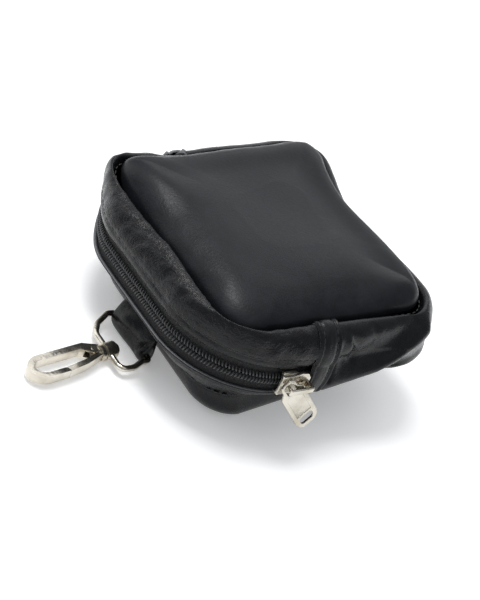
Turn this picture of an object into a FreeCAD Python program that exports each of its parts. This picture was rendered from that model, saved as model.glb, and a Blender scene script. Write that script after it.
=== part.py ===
"""Square zipped leather coin purse with a short strap, a swivel loop and a snap hook.

Millimetres, +Z up. The purse lies on its back panel: the origin is the centre of the face that
it rests on. -Y is the side with the strap and the middle of the zip, +X is the side where the
zip closes. One STEP file is written for each separate piece.
"""
import FreeCAD, Part
import math
import os

Vector = FreeCAD.Vector

# --- leather pouch: half sizes, heights and corner radii of the outer surface ---
half_x = 50.0                # widest half size, across the zip level
half_y = 51.3
zip_corner_radius = 32.7     # the two corners that the zip goes round
plain_corner_radius = 24.0   # the two corners of the plain gusset
corner_shift = [             # how far each corner is pushed out of square above the back seam
    (0.0, 0.0),              # +X -Y
    (0.0, 2.5),              # +X +Y
    (-6.0, 5.5),             # -X +Y
    (-1.0, 0.0),             # -X -Y
]
rest_shift = [               # how far the resting face spreads at each corner
    (8.0, -1.5),
    (0.0, 1.0),
    (-3.0, 3.0),
    (-1.0, 0.0),
]
front_seam_half_x = 41.3
front_seam_half_y = 42.7
front_seam_height = 42.8
back_seam_half_x = 40.0
back_seam_half_y = 39.5
back_seam_height = 12.5
seam_corner_radius = 12.0
dome_height = 51.2           # top of the front panel
rest_half_x = 26.0           # half sizes of the flat part of the back panel
rest_half_y = 26.0

# --- zip ---
zip_height = 27.05           # middle of the teeth above the floor
zip_window = 10.3            # gap between the two leather edges
zip_end_y = -7.7             # where the zip stops on both sides, under the end tabs
tape_half = 5.5              # of each tape, from its teeth to its hidden edge
tape_thickness = 0.6
teeth_width = 2.35           # of each row of teeth
teeth_gap = 1.3              # between the two rows, where the slider's wedge runs
teeth_height = 1.8

# --- sheet materials ---
leather = 1.2
lining = 0.4
lining_depth = 2.0           # from the outer surface to the lining
lining_window = 14.0
sheet_gap = 0.05             # between stacked sheets
thread = 0.3
thread_width = 0.5
edge_stitch_inset = 2.8      # from a leather edge beside the zip to its row of stitches

# --- end tabs ---
tab_near_y = -12.5
tab_far_y = -3.0
tab_thickness = 1.05
tab_stitch_inset = 1.8

# --- strap, hanging from the back seam ---
strap_width = 21.0
strap_leather = 1.4
strap_stitch_inset = 1.8
bar_y = -41.4                # axis of the loop's bar inside the strap's fold
bar_z = 3.2
fold_clearance = 0.3
seam_clearance = 0.45        # between the strap's sewn end and the pouch

# --- swivel loop ---
wire_radius = 1.1
loop_reach = 12.9            # from the bar's axis to the collar's centre
loop_corners = [             # x, distance from the bar's axis and bend radius of each corner
    (-12.1, 0.0, 1.9),
    (-12.1, 3.4, 3.0),
    (-8.0, 9.6, 5.0),
    (-3.4, loop_reach, 5.0),
    (14.3, loop_reach, 2.6),
    (14.1, 7.6, 5.0),
    (12.1, 3.4, 3.0),
    (12.1, 0.0, 1.9),
]
collar_x = 5.2
collar_radius = 3.05
collar_length = 4.4
swivel_turn = 9.5            # the hook's direction from -Y towards +X, degrees
stem_radius = 1.5
stem_clearance = 0.06
rivet_head_radius = 2.1
rivet_head = 0.9
swivel_play = 0.3            # axial, each side of the collar

# --- snap hook ---
hook_length = 33.6           # collar centre to tip
hook_half_width = 4.9
hook_half_thickness = 1.8
neck_radius = 2.7
neck_length = 1.6
arm_width = 2.3
nose_width = 1.9
split_reach = 20.0           # collar centre to the gate's free end
pin_reach = 6.3
pin_side = -1.3
pin_radius = 0.6
cheek_radius = 1.7
cheek_slot_half = 1.2
gate_clearance = 0.1
gate_running = 0.06

# --- slider and puller ---
slider_length = 11.8
slider_half_width = 4.3
slider_plate = 1.2
slider_over_teeth = 0.3
slider_under_tape = 0.85
slider_under_plate = 0.9
slider_wedge = 1.0
slider_flange = 0.75
bridge_height = 3.1          # clear height under the bridge
bridge_thickness = 0.8
bridge_width = 2.0
bridge_post_radius = 0.7
bridge_post_from_tail = 2.7
bridge_foot_length = 1.2
bridge_foot_from_nose = 1.5
lock_length = 3.4
puller_lift = 1.5            # from the slider's plate to the puller's pivot
puller_tilt = 15.0           # away from the purse's side, degrees
puller_turn = 43.0           # towards the closed end, degrees
puller_roll = 7.0            # about its own length, the edge under the bridge inwards, degrees
puller_length = 17.6         # pivot to tip
puller_width = 8.7
puller_thickness = 0.9
puller_top = 2.7             # pivot to the top of its ring
puller_ring_width = 5.5
puller_bar = 1.0
puller_shoulder = 2.2        # pivot to where the plate has its full width
puller_eye_length = 4.1
puller_eye_width = 3.5
puller_slot_width = 5.2
puller_slot_length = 2.8
puller_slot_from_tip = 1.5

window_low = zip_height - zip_window / 2
window_high = zip_height + zip_window / 2
strap_half = strap_width / 2
far = 200.0


# ---------------------------------------------------------------- rounded outlines and shells
def section(x_half, y_half, height, zip_corner, plain_corner=None):
    """One horizontal outline of the pouch: half sizes, height and the radii of its corners."""
    if plain_corner is None:
        plain_corner = zip_corner
    return (x_half, y_half, height, zip_corner, plain_corner)


back_chain = [
    section(rest_half_x, rest_half_y, 0.0, seam_corner_radius),
    section(back_seam_half_x - 8.0, back_seam_half_y - 8.0, 1.8, seam_corner_radius),
    section(back_seam_half_x - 3.5, back_seam_half_y - 3.5, 5.5, seam_corner_radius + 1.0),
    section(back_seam_half_x, back_seam_half_y, back_seam_height, seam_corner_radius + 2.0),
]
lower_chain = [
    back_chain[-1],
    section(half_x - 5.0, half_y - 5.3, back_seam_height + 4.5, zip_corner_radius - 8.7,
            plain_corner_radius - 3.5),
    section(half_x - 1.0, half_y - 1.0, window_low - 1.3, zip_corner_radius - 1.7,
            plain_corner_radius - 0.7),
    section(half_x, half_y, window_low, zip_corner_radius, plain_corner_radius),
]
window_chain = [
    lower_chain[-1],
    section(half_x, half_y, window_high, zip_corner_radius, plain_corner_radius),
]
upper_chain = [
    window_chain[-1],
    section(half_x - 0.9, half_y - 0.9, window_high + 5.3, zip_corner_radius - 3.7,
            plain_corner_radius - 1.5),
    section(half_x - 3.6, half_y - 3.6, front_seam_height - 1.6, zip_corner_radius - 10.7,
            plain_corner_radius - 5.0),
    section(front_seam_half_x, front_seam_half_y, front_seam_height, seam_corner_radius),
]
front_chain = [
    upper_chain[-1],
    section(front_seam_half_x - 3.3, front_seam_half_y - 3.3, front_seam_height + 3.4,
            seam_corner_radius),
    section(front_seam_half_x - 11.3, front_seam_half_y - 11.4, dome_height - 1.9,
            seam_corner_radius),
    section(front_seam_half_x - 25.3, front_seam_half_y - 25.4, dome_height,
            seam_corner_radius - 3.0),
]
whole_chain = back_chain + lower_chain[1:] + window_chain[1:] + upper_chain[1:] + front_chain[1:]


def outline(part_section):
    """The wire of a section: four straight sides joined by four quarter circles."""
    x_half, y_half, height, zip_corner, plain_corner = part_section
    corners = [(1, -1, -90), (1, 1, 0), (-1, 1, 90), (-1, -1, 180)]
    rise = (height - back_seam_height) / (window_low - back_seam_height)
    pushed = min(max(rise, 0.0), 1.0)
    spread = min(max(1.0 - height / back_seam_height, 0.0), 1.0)
    points = []
    for index, (x_sign, y_sign, start) in enumerate(corners):
        radius = plain_corner if y_sign > 0 else zip_corner
        shift = [pushed * high + spread * low
                 for high, low in zip(corner_shift[index], rest_shift[index])]
        centre = Vector(x_sign * (x_half - radius) + shift[0],
                        y_sign * (y_half - radius) + shift[1], height)
        for angle in (start, start + 45, start + 90):
            turn = math.radians(angle)
            points.append(centre + Vector(math.cos(turn), math.sin(turn), 0) * radius)
    edges = []
    for corner in range(4):
        first, middle, last = points[3 * corner:3 * corner + 3]
        following = points[(3 * corner + 3) % 12]
        edges.append(Part.Arc(first, middle, last).toShape())
        edges.append(Part.LineSegment(last, following).toShape())
    return Part.Wire(edges)


def inward(before, after):
    """Unit direction (inset, height) into the pouch, square to the profile from before to after."""
    outward_step = after[0] - before[0]
    rise = after[2] - before[2]
    length = math.hypot(outward_step, rise)
    return (rise / length, outward_step / length)


def offset(chain, depth):
    """The chain moved into the pouch by depth, with mitred corners that neighbours share."""
    moved = []
    for part_section in chain:
        x_half, y_half, height, zip_corner, plain_corner = part_section
        index = whole_chain.index(part_section)
        steps = []
        if index > 0:
            steps.append(inward(whole_chain[index - 1], whole_chain[index]))
        if index < len(whole_chain) - 1:
            steps.append(inward(whole_chain[index], whole_chain[index + 1]))
        if index in (0, len(whole_chain) - 1):
            steps.append((0.0, 1.0 if index == 0 else -1.0))
        inset = sum(step[0] for step in steps)
        lift = sum(step[1] for step in steps)
        share = inset * steps[0][0] + lift * steps[0][1]
        inset *= depth / share
        lift *= depth / share
        moved.append(section(x_half - inset, y_half - inset, height + lift, zip_corner - inset,
                             plain_corner - inset))
    return moved


def ruled_band(one, other):
    """The faces between two outlines: a flat ring at one height, otherwise a ruled loft."""
    if abs(one.BoundBox.ZMin - other.BoundBox.ZMin) < 1e-6:
        inner, outer = sorted([one, other], key=lambda wire: wire.BoundBox.XLength)
        return Part.Face(outer).cut(Part.Face(inner)).Faces
    return Part.makeLoft([one, other], False, True).Faces


def closed_shell(wires, capped):
    """A solid from ruled bands between each wire and the next; capped closes both ends flat."""
    faces = []
    pairs = list(zip(wires[:-1], wires[1:]))
    if not capped:
        pairs.append((wires[-1], wires[0]))
    for one, other in pairs:
        faces.extend(ruled_band(one, other))
    if capped:
        faces.append(Part.Face(wires[0]))
        faces.append(Part.Face(wires[-1]))
    shell = Part.makeShell(faces)
    shell.sewShape()
    solid = Part.makeSolid(Part.Shell(shell.Faces))
    if solid.Volume < 0:
        solid.reverse()
    return solid


def ring(chain, depth_out, depth_in):
    """A band of sheet all round the pouch, between two depths below the outer surface."""
    outer = [outline(part) for part in offset(chain, depth_out)]
    inner = [outline(part) for part in offset(chain, depth_in)]
    return closed_shell(outer + inner[::-1], False)


def dish(chain, depth_out, depth_in):
    """A panel of sheet that closes the pouch: the chain's flat end is its middle."""
    outer = [outline(part) for part in offset(chain, depth_out)]
    inner = [outline(part) for part in offset(chain, depth_in)]
    if chain[0] is whole_chain[0]:
        return closed_shell(outer + inner[::-1], True)
    return closed_shell(outer[::-1] + inner, True)


def flat_ring(low, high, depth_out, depth_in):
    """A band inside the zip's level stretch, from height low to high."""
    wires = []
    for height, depth in ((low, depth_out), (high, depth_out), (high, depth_in), (low, depth_in)):
        wires.append(outline(section(half_x - depth, half_y - depth, height,
                                     zip_corner_radius - depth, plain_corner_radius - depth)))
    return closed_shell(wires, False)


def thread_ring(before, after, share):
    """A narrow band of stitches lying on the outer surface, part of the way between two sections."""
    inset, lift = inward(before, after)
    length = math.hypot(after[0] - before[0], after[2] - before[2])
    wires = []
    for along, depth in ((-0.5, 1.0), (0.5, 1.0), (0.5, 0.0), (-0.5, 0.0)):
        place = share + along * thread_width / length
        rise = sheet_gap + depth * thread
        mixed = [one + (other - one) * place for one, other in zip(before, after)]
        wires.append(outline(section(mixed[0] + inset * rise, mixed[1] + inset * rise,
                                     mixed[2] - lift * rise, mixed[3] + inset * rise,
                                     mixed[4] + inset * rise)))
    return closed_shell(wires, False)


def slab(x_low, x_high, y_low, y_high, z_low, z_high):
    """A plain block between two corners."""
    return Part.makeBox(x_high - x_low, y_high - y_low, z_high - z_low,
                        Vector(x_low, y_low, z_low))


zip_part = slab(-far, far, -far, zip_end_y - sheet_gap, -far, far)
plain_part = slab(-far, far, zip_end_y + sheet_gap, far, -far, far)
before_tabs = slab(-far, far, -far, tab_near_y - sheet_gap, -far, far)


# ---------------------------------------------------------------- pouch
def zip_gusset_front():
    """Leather strip between the zip and the front panel."""
    return ring(upper_chain, 0.0, leather).common(zip_part)


def zip_gusset_back():
    """Leather strip between the zip and the back panel."""
    return ring(lower_chain, 0.0, leather).common(zip_part)


def plain_gusset():
    """One-piece leather side that goes round the three corners without a zip."""
    return ring(lower_chain + window_chain[1:] + upper_chain[1:], 0.0, leather).common(plain_part)


def end_tab(side):
    """Leather tab sewn over the joint of zip and plain gusset; side is +1 or -1 along X."""
    band = ring(lower_chain + window_chain[1:] + upper_chain[1:], -tab_thickness - sheet_gap,
                -sheet_gap)
    return band.common(slab(min(0, side * far), max(0, side * far), tab_near_y, tab_far_y,
                            -far, far))


def tab_threads():
    """Two rows of stitches on each end tab."""
    top = -tab_thickness - 2 * sheet_gap
    band = ring(lower_chain + window_chain[1:] + upper_chain[1:], top - thread, top)
    rows = []
    for middle in (tab_near_y + tab_stitch_inset, tab_far_y - tab_stitch_inset):
        rows.append(band.common(slab(-far, far, middle - thread_width / 2,
                                     middle + thread_width / 2, -far, far)))
    return Part.makeCompound([solid for row in rows for solid in row.Solids])


def tape(low, high):
    """Woven zip tape behind the leather edges, from height low to high."""
    depth = leather + sheet_gap
    band = ring(lower_chain + window_chain[1:] + upper_chain[1:], depth, depth + tape_thickness)
    return band.common(zip_part).common(slab(-far, far, -far, far, low, high))


def teeth(side):
    """One row of coil teeth on its tape's edge; side is +1 for the front row."""
    inner_edge = zip_height + side * teeth_gap / 2
    outer_edge = inner_edge + side * teeth_width
    depth = leather + sheet_gap
    band = flat_ring(min(inner_edge, outer_edge), max(inner_edge, outer_edge),
                     depth - teeth_height, depth)
    return band.common(before_tabs)


def gusset_lining():
    """Thin lining of the sides, open behind the zip."""
    band = ring(lower_chain + window_chain[1:] + upper_chain[1:], lining_depth,
                lining_depth + lining)
    return band.cut(slab(-far, far, -far, zip_end_y, zip_height - lining_window / 2,
                         zip_height + lining_window / 2))


def slope_length(before, after):
    """Length of the profile between two sections."""
    return math.hypot(after[0] - before[0], after[2] - before[2])


def pouch():
    """Every sewn piece of the pouch by name."""
    tape_edge = (teeth_gap - 0.1) / 2
    upper_share = edge_stitch_inset / slope_length(upper_chain[0], upper_chain[1])
    beyond_rim = edge_stitch_inset - slope_length(lower_chain[2], lower_chain[3])
    lower_share = 1.0 - beyond_rim / slope_length(lower_chain[1], lower_chain[2])
    return {
        "front_panel": dish(front_chain, 0.0, leather),
        "back_panel": dish(back_chain, 0.0, leather),
        "zip_gusset_front": zip_gusset_front(),
        "zip_gusset_back": zip_gusset_back(),
        "plain_gusset": plain_gusset(),
        "end_tab_right": end_tab(1),
        "end_tab_left": end_tab(-1),
        "zip_tape_front": tape(zip_height + tape_edge, zip_height + tape_edge + tape_half),
        "zip_tape_back": tape(zip_height - tape_edge - tape_half, zip_height - tape_edge),
        "zip_teeth_front": teeth(1),
        "zip_teeth_back": teeth(-1),
        "front_lining": dish(front_chain, lining_depth, lining_depth + lining),
        "back_lining": dish(back_chain, lining_depth, lining_depth + lining),
        "gusset_lining": gusset_lining(),
        "front_seam_thread": thread_ring(front_chain[0], front_chain[1], 0.12),
        "back_seam_thread": thread_ring(back_chain[2], back_chain[3], 0.88),
        "zip_thread_front": thread_ring(upper_chain[0], upper_chain[1],
                                        upper_share).common(before_tabs),
        "zip_thread_back": thread_ring(lower_chain[1], lower_chain[2],
                                       lower_share).common(before_tabs),
        "tab_threads": tab_threads(),
    }


# ---------------------------------------------------------------- strap
flex_y = -back_seam_half_y - seam_clearance - strap_leather / 2      # the strap bends here
flex_z = back_seam_height - 0.5


def strap_profile():
    """Side view of the strap as (y, z) points: the sewn top end and both layers down to the fold."""
    top = flex_z
    seam_y = flex_y + strap_leather / 2
    return (seam_y, top), (seam_y - strap_leather, top)


def strap():
    """Leather strip folded round the loop's bar, its two layers sewn together up to the seam."""
    inner_top, outer_top = strap_profile()
    fold_radius = wire_radius + fold_clearance + strap_leather
    points = [
        inner_top,
        outer_top,
        (bar_y - 0.93 * fold_radius, bar_z + 0.37 * fold_radius),
        (bar_y, bar_z),
        (bar_y, bar_z - fold_radius),
        (bar_y + 3.4, bar_z - fold_radius + 0.9),
        (inner_top[0] + 0.9, inner_top[1] - 6.0),
    ]
    wire = Part.makePolygon([Vector(-strap_half, y, z) for y, z in points + points[:1]])
    body = Part.Face(wire).extrude(Vector(strap_width, 0, 0))
    fold = Part.makeCylinder(fold_radius, strap_width, Vector(-strap_half, bar_y, bar_z),
                             Vector(1, 0, 0))
    hole = Part.makeCylinder(wire_radius + fold_clearance, strap_width + 2,
                             Vector(-strap_half - 1, bar_y, bar_z), Vector(1, 0, 0))
    root = Part.makeCylinder(strap_leather / 2 - 0.05, strap_width,
                             Vector(-strap_half, flex_y, flex_z), Vector(1, 0, 0))
    return body.fuse([fold, root]).cut(hole).removeSplitter()


def strap_threads():
    """Two rows of stitches down the strap's outer face."""
    outer_top = strap_profile()[1]
    fold_radius = wire_radius + fold_clearance + strap_leather
    low = (bar_y - 0.93 * fold_radius, bar_z + 0.37 * fold_radius)
    run = (low[0] - outer_top[0], low[1] - outer_top[1])
    length = math.hypot(*run)
    out = (run[1] / length, -run[0] / length)
    rows = []
    for side in (-1, 1):
        middle = side * (strap_half - strap_stitch_inset)
        corners = []
        for along, lift in ((0.12, 0.0), (0.9, 0.0), (0.9, 1.0), (0.12, 1.0)):
            rise = sheet_gap + lift * thread
            corners.append(Vector(middle - thread_width / 2,
                                  outer_top[0] + run[0] * along + out[0] * rise,
                                  outer_top[1] + run[1] * along + out[1] * rise))
        face = Part.Face(Part.makePolygon(corners + corners[:1]))
        rows.append(face.extrude(Vector(thread_width, 0, 0)))
    return Part.makeCompound(rows)


# ---------------------------------------------------------------- swivel loop and snap hook
collar_y = bar_y - loop_reach
hook_frame = FreeCAD.Placement(Vector(collar_x, collar_y, bar_z),
                               FreeCAD.Rotation(Vector(0, 0, 1), swivel_turn - 90))


def placed(shape):
    """A shape drawn along +X from the collar's centre, moved to the hook's place and direction."""
    result = shape.copy()
    result.Placement = hook_frame.multiply(shape.Placement)
    return result


def along_hook(radius, start, end):
    """A round bar on the swivel's axis, between two distances from the collar's centre."""
    return Part.makeCylinder(radius, end - start, Vector(start, 0, 0), Vector(1, 0, 0))


def rounded_path(points, radii):
    """A closed flat wire through points, each corner rounded to its radius."""
    edges = []
    ends = []
    count = len(points)
    for index in range(count):
        corner = points[index]
        back = (points[index - 1] - corner).normalize()
        ahead = (points[(index + 1) % count] - corner).normalize()
        radius = radii[index]
        half_angle = back.getAngle(ahead) / 2
        reach = radius / math.tan(half_angle)
        middle = (back + ahead).normalize()
        centre_distance = radius / math.sin(half_angle)
        ends.append((corner + back * reach, corner + middle * (centre_distance - radius),
                     corner + ahead * reach))
    for index in range(count):
        start, middle, end = ends[index]
        edges.append(Part.Arc(start, middle, end).toShape())
        following = ends[(index + 1) % count][0]
        edges.append(Part.LineSegment(end, following).toShape())
    return Part.Wire(edges)


def swivel_loop():
    """D-shaped wire loop; the collar in its far side takes the hook's stem."""
    corners = [Vector(x, bar_y - reach, bar_z) for x, reach, bend in loop_corners]
    path = rounded_path(corners, [bend for x, reach, bend in loop_corners])
    start = path.Edges[0].Vertexes[0].Point
    direction = path.Edges[0].tangentAt(path.Edges[0].FirstParameter)
    circle = Part.Wire(Part.makeCircle(wire_radius, start, direction))
    wire = path.makePipeShell([circle], True, True)
    collar = placed(along_hook(collar_radius, -collar_length / 2, collar_length / 2))
    bore = placed(along_hook(stem_radius + stem_clearance, -collar_length, collar_length))
    return wire.fuse(collar).cut(bore)


def plate(points, half_thickness):
    """A flat plate of the hook from its (reach, side) outline points."""
    corners = [Vector(reach, side, -half_thickness) for reach, side in points]
    face = Part.Face(Part.makePolygon(corners + corners[:1]))
    return face.extrude(Vector(0, 0, 2 * half_thickness))


def bow(outer_reach, half_width, start):
    """Outline of a rounded hook end: straight sides from start, closed by half an ellipse."""
    depth = 1.3 * half_width
    centre = outer_reach - depth
    lower = Vector(start, -half_width, -hook_half_thickness)
    upper = Vector(start, half_width, -hook_half_thickness)
    lower_end = Vector(centre, -half_width, -hook_half_thickness)
    upper_end = Vector(centre, half_width, -hook_half_thickness)
    ellipse = Part.Ellipse(Vector(centre, 0, -hook_half_thickness), depth, half_width)
    arc = Part.ArcOfEllipse(ellipse, -math.pi / 2, math.pi / 2).toShape()
    edges = [Part.LineSegment(lower, lower_end).toShape(), arc,
             Part.LineSegment(upper_end, upper).toShape(),
             Part.LineSegment(upper, lower).toShape()]
    face = Part.Face(Part.Wire(Part.__sortEdges__(edges)))
    return face.extrude(Vector(0, 0, 2 * hook_half_thickness))


def hook_body():
    """Cast hook: stem and rivet head, neck, cheeks for the gate, long arm, bow and short nose."""
    slope_start = pin_reach + 2.2
    outer = bow(hook_length, hook_half_width, slope_start)
    inner_half = hook_half_width - (arm_width + nose_width) / 2
    inner = bow(hook_length - arm_width, inner_half, slope_start + 1.8)
    inner.translate(Vector(0, (arm_width - nose_width) / 2, 0))
    shoulder = plate([(neck_length + 1.6, -2.4), (slope_start, -hook_half_width),
                      (slope_start + 2.2, -hook_half_width), (slope_start + 2.2, -2.6),
                      (pin_reach + 1.2, pin_side + 1.2), (pin_reach, pin_side + cheek_radius),
                      (neck_length + 1.6, -0.2)], hook_half_thickness)
    cheek = Part.makeCylinder(cheek_radius, 2 * hook_half_thickness,
                              Vector(pin_reach, pin_side, -hook_half_thickness))
    gate_room = plate([(slope_start - 0.1, -hook_half_width + arm_width),
                       (slope_start - 0.1, far), (split_reach + 0.15, far),
                       (split_reach + 0.15, hook_half_width),
                       (split_reach + 1.05, hook_half_width - nose_width),
                       (split_reach + 1.05, -hook_half_width + arm_width)],
                      hook_half_thickness + 1)
    frame = outer.cut(inner).cut(gate_room)
    slot = slab(neck_length + 2.6, pin_reach + 3.0, pin_side - cheek_radius - 0.2,
                far, -cheek_slot_half, cheek_slot_half)
    pin_hole = Part.makeCylinder(pin_radius, 10, Vector(pin_reach, pin_side, -5))
    front_of_collar = collar_length / 2 + swivel_play
    neck = along_hook(neck_radius, front_of_collar, front_of_collar + neck_length)
    stem = along_hook(stem_radius, -front_of_collar - rivet_head / 2, front_of_collar + 0.5)
    head = along_hook(rivet_head_radius, -front_of_collar - rivet_head, -front_of_collar)
    solid = frame.fuse([shoulder, cheek]).cut(slot).cut(pin_hole)
    return solid.fuse([neck, stem, head]).removeSplitter()


def hook_gate():
    """Sprung gate: a bar that closes the hook, with two ears on the pin."""
    start = neck_length + 2.75
    tip_side = hook_half_width
    bar = plate([(start, 0.55), (start, 2.1), (12.3, 4.1), (split_reach, tip_side),
                 (split_reach + 0.75, tip_side - nose_width), (12.5, 2.1)],
                hook_half_thickness)
    ears = plate([(start + 0.2, 1.0), (pin_reach - 1.4, pin_side), (pin_reach + 1.4, pin_side),
                  (pin_reach + 3.0, 1.8)], cheek_slot_half - gate_clearance)
    knuckle = Part.makeCylinder(1.45, 2 * (cheek_slot_half - gate_clearance),
                                Vector(pin_reach, pin_side, -cheek_slot_half + gate_clearance))
    spring_room = Part.makeCylinder(1.75, 1.3, Vector(pin_reach, pin_side, -0.65))
    pin_hole = Part.makeCylinder(pin_radius + gate_running, 10, Vector(pin_reach, pin_side, -5))
    return bar.fuse([ears, knuckle]).cut(spring_room).cut(pin_hole).removeSplitter()


def gate_pin():
    """Rivet that the gate turns on, pressed into both cheeks."""
    return Part.makeCylinder(pin_radius, 2 * hook_half_thickness + 0.3,
                             Vector(pin_reach, pin_side, -hook_half_thickness - 0.15))


def gate_spring():
    """Small coil round the pin that closes the gate."""
    wire_r = 0.16
    coil_radius = pin_radius + 0.12 + wire_r
    helix = Part.makeHelix(0.36, 0.9, coil_radius)
    section_wire = Part.Wire(Part.makeCircle(wire_r, Vector(coil_radius, 0, 0), Vector(0, 1, 0)))
    coil = Part.Wire(helix.Edges).makePipeShell([section_wire], True, True)
    coil.translate(Vector(pin_reach, pin_side, -0.45))
    return coil


def snap_hook():
    """Pieces of the snap hook by name, in their place."""
    return {
        "hook_body": placed(hook_body()),
        "hook_gate": placed(hook_gate()),
        "gate_pin": placed(gate_pin()),
        "gate_spring": placed(gate_spring()),
    }


# ---------------------------------------------------------------- slider and puller
slider_y = -half_y + zip_corner_radius          # the slider closes where the corner's arc starts
plate_low = half_x - leather - sheet_gap + teeth_height + slider_over_teeth
plate_top = plate_low + slider_plate
pivot = Vector(plate_top + puller_lift, slider_y - slider_length / 2 + bridge_post_from_tail,
               zip_height)


def slider_outline(low, high, half_width, length):
    """A shield-shaped plate square to X: narrow tail towards -Y, round nose towards +Y."""
    tail = slider_y - length / 2
    nose = slider_y + length / 2
    points = [(tail, 0.86), (tail + 0.35 * length, 0.84), (tail + 0.62 * length, 1.0),
              (nose - 0.14 * length, 0.9), (nose, 0.45)]
    right = [Vector(low, y, zip_height + share * half_width) for y, share in points]
    left = [Vector(low, y, zip_height - share * half_width) for y, share in points[::-1]]
    face = Part.Face(Part.makePolygon(right + left + right[:1]))
    return face.extrude(Vector(high - low, 0, 0))


def slider_body():
    """Two plates round the teeth, joined by the wedge that parts the rows, with side flanges."""
    under_top = half_x - leather - sheet_gap - tape_thickness - slider_under_tape
    upper = slider_outline(plate_low, plate_top, slider_half_width, slider_length)
    lower = slider_outline(under_top - slider_under_plate, under_top, slider_half_width - 0.2,
                           slider_length)
    wedge = slab(under_top - 0.1, plate_low + 0.1, slider_y + 1.4, slider_y + 4.4,
                 zip_height - slider_wedge / 2, zip_height + slider_wedge / 2)
    flange_low = plate_low - 1.35
    flanges = []
    for side in (-1, 1):
        outer = zip_height + side * (0.84 * slider_half_width + 0.45)
        inner = outer - side * slider_flange
        flanges.append(slab(flange_low, plate_low + 0.1, slider_y - slider_length / 2 + 0.5,
                            slider_y + 1.2, min(outer, inner), max(outer, inner)))
    body = upper.fuse([lower, wedge] + flanges).removeSplitter()
    return body


def slider_cap():
    """Bridge over the slider: a round post at the tail, a bar, and a flat foot at the nose."""
    low = plate_top
    bar_low = plate_top + bridge_height
    foot_y = slider_y + slider_length / 2 - bridge_foot_from_nose
    post = Part.makeCylinder(bridge_post_radius, bridge_height + 0.3,
                             Vector(low, pivot.y, zip_height), Vector(1, 0, 0))
    foot_end = foot_y + bridge_foot_length
    bar = slab(bar_low, bar_low + bridge_thickness, pivot.y - bridge_post_radius - 0.3,
               foot_end, zip_height - bridge_width / 2, zip_height + bridge_width / 2)
    foot = slab(low, bar_low + bridge_thickness, foot_y, foot_end,
                zip_height - bridge_width / 2, zip_height + bridge_width / 2)
    bar = bar.fuse(foot).removeSplitter()
    edges = []
    for edge in bar.Edges:
        points = [vertex.Point for vertex in edge.Vertexes]
        if all(point.x > bar_low + bridge_thickness - 0.01 for point in points):
            edges.append(edge)
    bar = bar.makeFillet(bridge_thickness / 2, edges)
    return bar.fuse(post).removeSplitter()


def lock_spring():
    """Leaf under the bridge that presses the locking tooth down, beside the bridge's foot."""
    foot_y = slider_y + slider_length / 2 - bridge_foot_from_nose
    tip_y = foot_y - lock_length
    leaf = slab(plate_top + 0.6, plate_top + 0.8, tip_y, foot_y, zip_height - 0.6,
                zip_height + 0.6)
    tooth = slab(plate_top + 0.02, plate_top + 0.6, tip_y, tip_y + 0.4, zip_height - 0.6,
                 zip_height + 0.6)
    return leaf.fuse(tooth).removeSplitter()


def rounded_slot(start, length, width, radius):
    """A straight-sided hole's cutter through the puller, with rounded corners."""
    block = slab(start, start + length, -width / 2, width / 2, -far, far)
    upright = [edge for edge in block.Edges if abs(edge.tangentAt(edge.FirstParameter).z) > 0.9]
    return block.makeFillet(radius, upright)


def puller_blank():
    """The puller's outline lying flat: a narrow ring, shoulders and a plate with a round tip."""
    half = puller_width / 2
    ring_half = puller_ring_width / 2
    side = [(-puller_top, 0.45 * ring_half), (-puller_top + 0.5, 0.8 * ring_half),
            (-puller_top + 1.3, ring_half), (0.4, ring_half), (puller_shoulder, half),
            (puller_length - 3.2, half), (puller_length - 1.2, 0.84 * half),
            (puller_length - 0.2, 0.5 * half)]
    outline_points = side + [(reach, -width) for reach, width in side[::-1]]
    corners = [Vector(reach, width, -puller_thickness / 2) for reach, width in outline_points]
    face = Part.Face(Part.makePolygon(corners + corners[:1]))
    return face.extrude(Vector(0, 0, puller_thickness))


def puller_place():
    """Where the flat puller hangs: its length, width and face directions at the pivot."""
    tilt = math.radians(puller_tilt)
    turn = math.radians(puller_turn)
    roll = math.radians(puller_roll)
    length_axis = Vector(math.sin(tilt), math.cos(tilt) * math.sin(turn),
                         -math.cos(tilt) * math.cos(turn))
    level = Vector(0, math.cos(turn), math.sin(turn))
    width_axis = level * math.cos(roll) - length_axis.cross(level) * math.sin(roll)
    face_axis = length_axis.cross(width_axis)
    return FreeCAD.Placement(FreeCAD.Matrix(
        length_axis.x, width_axis.x, face_axis.x, pivot.x,
        length_axis.y, width_axis.y, face_axis.y, pivot.y,
        length_axis.z, width_axis.z, face_axis.z, pivot.z,
        0, 0, 0, 1))


def puller():
    """Flat pull tab: a ring round the bridge's post, a recessed field and a slot near its tip."""
    face = puller_thickness / 2
    eye_start = -puller_top + puller_bar
    slot_start = puller_length - puller_slot_from_tip - puller_slot_length
    eye = rounded_slot(eye_start, puller_eye_length, puller_eye_width, 1.2)
    slot = rounded_slot(slot_start, puller_slot_length, puller_slot_width, 1.2)
    field = slab(eye_start + puller_eye_length + 1.2, slot_start - 0.8,
                 -puller_width / 2 + 1.5, puller_width / 2 - 1.5, face - 0.22, far)
    shape = puller_blank().cut(eye).cut(slot).cut(field)
    shape.Placement = puller_place()
    return shape


def pieces():
    """Every piece of the purse by name."""
    every = pouch()
    every["strap"] = strap()
    every["strap_threads"] = strap_threads()
    every["swivel_loop"] = swivel_loop()
    every.update(snap_hook())
    every["slider_body"] = slider_body()
    every["slider_cap"] = slider_cap()
    every["lock_spring"] = lock_spring()
    every["puller"] = puller()
    return every


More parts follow.
